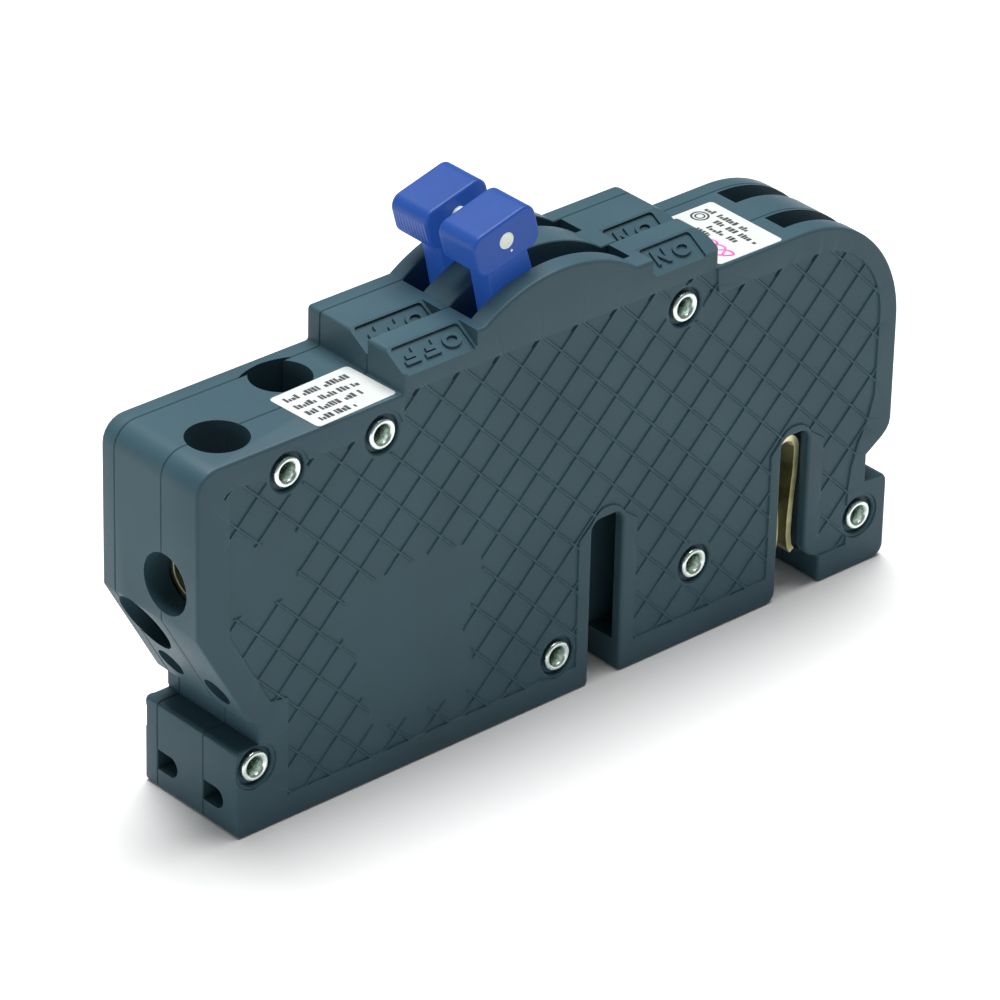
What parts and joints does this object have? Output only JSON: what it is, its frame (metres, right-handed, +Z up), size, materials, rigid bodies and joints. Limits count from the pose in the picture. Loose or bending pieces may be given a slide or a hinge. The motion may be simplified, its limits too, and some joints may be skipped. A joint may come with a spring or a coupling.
{
  "type": "circuit breaker",
  "caption": "Thin two-pole plug-on circuit breaker with tied handles, wire lugs at one end, bus clips in slots and a hook foot.",
  "frame": {"origin": "middle of the underside that lies on the panel", "axes": "+X from the wire end to the plug-on end, +Y across the poles from near to far, +Z up through the handles"},
  "size_m": [0.162, 0.0254, 0.0986],
  "materials": {
    "case_plastic": "satin moulded thermoset",
    "handle_plastic": "semi-gloss moulded nylon",
    "pin_plastic": "natural nylon rod",
    "label": "paper-faced vinyl",
    "rivet_steel": "bright zinc plate",
    "steel": "zinc plated",
    "lug_metal": "tin plated aluminium",
    "copper": "bare copper",
    "clip_brass": "tin-flashed spring copper alloy",
    "bimetal": "rolled strip",
    "contact_silver": "silver alloy",
    "fibre": "vulcanised fibre",
    "black_plastic": "moulded"
  },
  "bodies": {
    "case": {"near_case": "case_plastic", "middle_case": "case_plastic", "far_cover": "case_plastic", "tubular_rivets": "rivet_steel", "spec_label": "label", "rating_label": "label", "near_terminal_lug": "lug_metal", "far_terminal_lug": "lug_metal", "near_load_strap": "copper", "far_load_strap": "copper", "near_bimetal": "bimetal", "far_bimetal": "bimetal", "near_magnet_yoke": "steel", "far_magnet_yoke": "steel", "near_calibration_screw": "clip_brass", "far_calibration_screw": "clip_brass", "near_braid": "copper", "far_braid": "copper", "near_fixed_contact": "contact_silver", "far_fixed_contact": "contact_silver", "near_line_clip": "clip_brass", "far_line_clip": "clip_brass", "near_arc_frame": "fibre", "far_arc_frame": "fibre", "near_arc_plates": "steel", "far_arc_plates": "steel", "near_pivot_pins": "steel", "far_pivot_pins": "steel"},
    "handles": {"near_handle": "handle_plastic", "far_handle": "handle_plastic", "handle_tie_pin": "pin_plastic"},
    "near_screw": {"near_terminal_screw": "steel"},
    "far_screw": {"far_terminal_screw": "steel"},
    "near_magnet_plate": {"near_armature": "steel"},
    "far_magnet_plate": {"far_armature": "steel"},
    "near_arm": {"near_contact_arm": "copper", "near_moving_contact": "contact_silver", "near_toggle_spring": "steel"},
    "far_arm": {"far_contact_arm": "copper", "far_moving_contact": "contact_silver", "far_toggle_spring": "steel"},
    "trip_levers": {"near_cradle": "steel", "far_cradle": "steel", "common_trip_bar": "black_plastic"}
  },
  "joints": [
    {"name": "handle_swing", "type": "hinge", "parent": "case", "child": "handles", "pos_m": [-0.001, 0, 0.056], "axis": [0, 1, 0], "range_deg": [-9, 40], "deforming": ["near_toggle_spring", "far_toggle_spring"]},
    {"name": "near_arm_swing", "type": "hinge", "parent": "case", "child": "near_arm", "pos_m": [-0.0017, -0.0073, 0.04], "axis": [0, 1, 0], "range_deg": [-2.8, 12.1], "deforming": ["near_braid"]},
    {"name": "far_arm_swing", "type": "hinge", "parent": "case", "child": "far_arm", "pos_m": [-0.0017, 0.0051, 0.04], "axis": [0, 1, 0], "range_deg": [-2.8, 12.1], "deforming": ["far_braid"]},
    {"name": "trip_swing", "type": "hinge", "parent": "case", "child": "trip_levers", "pos_m": [-0.015, 0, 0.022], "axis": [0, 1, 0], "range_deg": [0, 12]},
    {"name": "near_armature_swing", "type": "hinge", "parent": "case", "child": "near_magnet_plate", "pos_m": [-0.0295, -0.0069, 0.0635], "axis": [0, 1, 0], "range_deg": [0, 5]},
    {"name": "far_armature_swing", "type": "hinge", "parent": "case", "child": "far_magnet_plate", "pos_m": [-0.0295, 0.0055, 0.0635], "axis": [0, 1, 0], "range_deg": [0, 5]},
    {"name": "near_screw_travel", "type": "slide", "parent": "case", "child": "near_screw", "axis": [0, 0, -1], "range_m": [0, 0.004]},
    {"name": "far_screw_travel", "type": "slide", "parent": "case", "child": "far_screw", "axis": [0, 0, -1], "range_m": [0, 0.004]}
  ],
  "couplings": [
    {"joint": "near_arm_swing", "follows": "handle_swing", "ratio": 0.3},
    {"joint": "far_arm_swing", "follows": "handle_swing", "ratio": 0.3}
  ]
}
